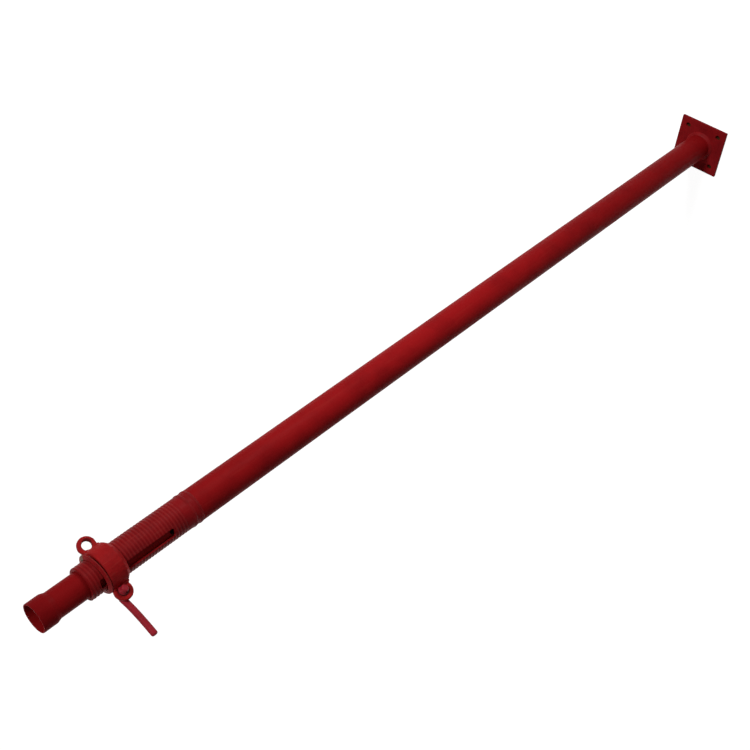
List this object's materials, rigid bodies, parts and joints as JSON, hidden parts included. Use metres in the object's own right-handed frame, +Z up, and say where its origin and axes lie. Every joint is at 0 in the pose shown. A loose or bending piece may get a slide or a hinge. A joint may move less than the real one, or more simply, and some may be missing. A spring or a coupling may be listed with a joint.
{
  "type": "adjustable steel prop",
  "caption": "Telescopic steel prop: square base plate, slotted threaded sleeve, cast collar nut with ring ears and a hooked bar handle, inner tube with a socket end.",
  "frame": {"origin": "centre of the base plate's underside, on the prop's axis", "axes": "+Z up along the prop's axis; the pin slots and pin holes run along X"},
  "size_m": [0.1719, 0.1781, 1.98],
  "materials": {
    "red_paint": "semi-gloss dark red paint on steel tube and plate",
    "cast_paint": "semi-gloss dark red paint over a slightly rough casting",
    "worn_paint": "dark red paint worn to grey at the edges",
    "guide_steel": "bare steel, hidden inside the outer tube"
  },
  "bodies": {
    "outer": {"base_plate": "red_paint", "base_weld": "red_paint", "outer_tube": "red_paint", "joint_weld": "red_paint", "threaded_sleeve": "red_paint"},
    "inner": {"inner_tube": "red_paint", "guide_ring": "guide_steel"},
    "washer": {"bearing_washer": "worn_paint"},
    "nut": {"collar_nut": "cast_paint"},
    "handle": {"handle": "cast_paint"}
  },
  "joints": [
    {"name": "inner_slide", "type": "slide", "parent": "outer", "child": "inner", "axis": [0, 0, 1], "range_m": [0, 1.37]},
    {"name": "nut_travel", "type": "slide", "parent": "outer", "child": "washer", "axis": [0, 0, 1], "range_m": [-0.128, 0.012]},
    {"name": "nut_turn", "type": "hinge", "parent": "washer", "child": "nut", "pos_m": [0, 0, 1.8439], "axis": [0, 0, 1], "range_deg": [-7080, 660]},
    {"name": "handle_swing", "type": "hinge", "parent": "nut", "child": "handle", "pos_m": [0.0352, -0.03114, 1.846], "axis": [0.6626, 0.749, 0], "range_deg": [-90, 90]}
  ],
  "couplings": [
    {"joint": "nut_travel", "follows": "nut_turn", "m_per_rad": 0.0010345}
  ]
}
